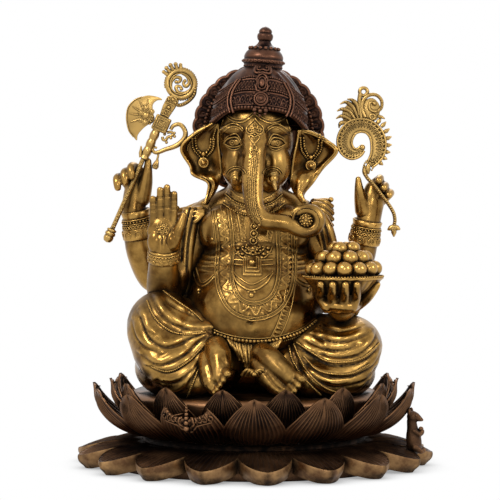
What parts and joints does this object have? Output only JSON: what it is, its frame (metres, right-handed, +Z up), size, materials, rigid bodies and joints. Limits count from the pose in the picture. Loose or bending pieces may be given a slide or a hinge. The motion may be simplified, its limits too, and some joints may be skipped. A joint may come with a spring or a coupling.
{
  "type": "hindu deity statue",
  "caption": "Cast brass figurine of a seated, four-armed, elephant-headed deity on a double lotus pedestal, with a lift-out goad",
  "frame": {"origin": "middle of the pedestal's underside, on the surface that it stands on", "axes": "+Z up; -Y is the front that the figure faces; +X is the figure's own left, the viewer's right"},
  "size_m": [0.36, 0.3612, 0.4386],
  "materials": {
    "body_brass": "polished antique brass, dark patina in the recesses",
    "wrap_brass": "polished antique brass folds with beaded hems",
    "pale_brass": "paler worn brass with dark recesses",
    "crown_bronze": "dark bronze patina, bright on the high points",
    "pedestal_bronze": "dark brown patina with coppery edges",
    "fixing_steel": "plain zinc-plated steel"
  },
  "bodies": {
    "root": {"chest_plaque": "body_brass", "chest_sash": "body_brass", "crown": "crown_bronze", "crown_bands": "crown_bronze", "crown_crest": "crown_bronze", "crown_finial": "crown_bronze", "ear_pendants": "body_brass", "fixing_nut": "fixing_steel", "fixing_stud": "fixing_steel", "fixing_washer": "fixing_steel", "front_left_arm": "body_brass", "front_left_bracelet": "body_brass", "front_left_hand": "body_brass", "front_pleats": "wrap_brass", "front_right_arm": "body_brass", "front_right_bracelet": "body_brass", "front_right_hand": "body_brass", "halo": "crown_bronze", "halo_screw": "fixing_steel", "head": "body_brass", "inner_petals": "pedestal_bronze", "left_ear": "body_brass", "left_foot": "body_brass", "left_leg": "wrap_brass", "left_shoulder_drape": "wrap_brass", "left_tusk": "body_brass", "lotus_drum": "pedestal_bronze", "lower_lotus_tier": "pedestal_bronze", "mouse": "pedestal_bronze", "noose_leaves": "pale_brass", "noose_ring": "pale_brass", "noose_stem": "pale_brass", "outer_petals": "pedestal_bronze", "rear_left_arm": "body_brass", "rear_left_bracelet": "body_brass", "rear_left_hand": "body_brass", "rear_right_arm": "body_brass", "rear_right_bracelet": "body_brass", "rear_right_hand": "body_brass", "right_ear": "body_brass", "right_foot": "body_brass", "right_leg": "wrap_brass", "right_shoulder_drape": "wrap_brass", "right_tusk": "body_brass", "sweets": "body_brass", "sweets_bowl": "body_brass", "torso": "body_brass", "trunk_sweet": "body_brass", "waist_belt": "body_brass"},
    "goad": {"goad_shaft": "pale_brass", "goad_pommel": "pale_brass", "goad_blade": "pale_brass", "goad_hook": "pale_brass", "goad_scroll_head": "pale_brass"}
  },
  "joints": [
    {"name": "goad_lift", "type": "slide", "parent": "root", "child": "goad", "axis": [0.4051, 0, 0.9143], "range_m": [0, 0.028]}
  ]
}
